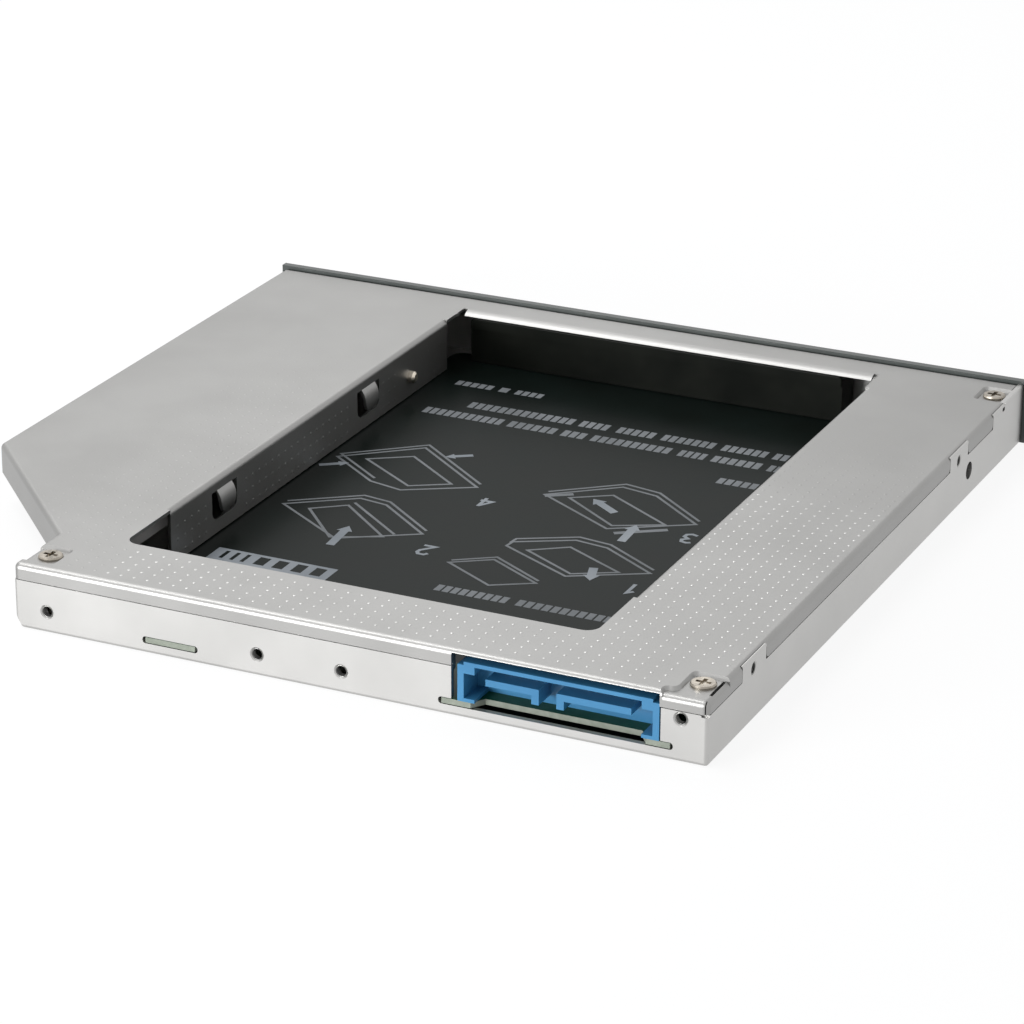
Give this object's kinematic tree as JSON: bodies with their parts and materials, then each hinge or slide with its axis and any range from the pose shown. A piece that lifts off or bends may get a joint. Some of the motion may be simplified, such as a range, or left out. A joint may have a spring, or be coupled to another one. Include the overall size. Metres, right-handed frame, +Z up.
{
  "type": "laptop drive caddy",
  "caption": "Slim aluminium caddy that carries a 2.5 inch drive in a laptop's optical bay, with a blue rear plug, a sliding retainer bar and a dark bezel.",
  "frame": {"origin": "under the middle of the whole caddy, on the plane it rests on", "axes": "+X towards the wing, +Y towards the rear connectors, +Z up, with the bezel at -Y"},
  "size_m": [0.1292, 0.1286, 0.0099],
  "materials": {
    "satin_aluminium": "satin",
    "black_film": "satin",
    "black_plastic": "matte",
    "blue_plastic": "satin",
    "green_board": "satin",
    "plated_steel": "satin",
    "gold_contact": "polished",
    "ceramic": "matte",
    "resistor_black": "matte"
  },
  "bodies": {
    "caddy": {"bottom_tray": "satin_aluminium", "top_cover": "satin_aluminium", "floor_film": "black_film", "front_bezel": "black_plastic", "adapter_board": "green_board", "board_standoffs": "plated_steel", "board_screws": "plated_steel", "board_capacitors": "ceramic", "board_resistors": "resistor_black", "host_plug": "blue_plastic", "host_signal_contacts": "gold_contact", "host_power_contacts": "gold_contact", "drive_socket": "black_plastic", "drive_signal_contacts": "gold_contact", "drive_power_contacts": "gold_contact", "cover_screws": "plated_steel", "cover_standoffs": "plated_steel", "locating_pin": "plated_steel"},
    "retainer": {"drive_retainer": "black_plastic"}
  },
  "joints": [
    {"name": "retainer_slide", "type": "slide", "parent": "caddy", "child": "retainer", "axis": [0, 1, 0], "range_m": [0, 0.0084]}
  ]
}
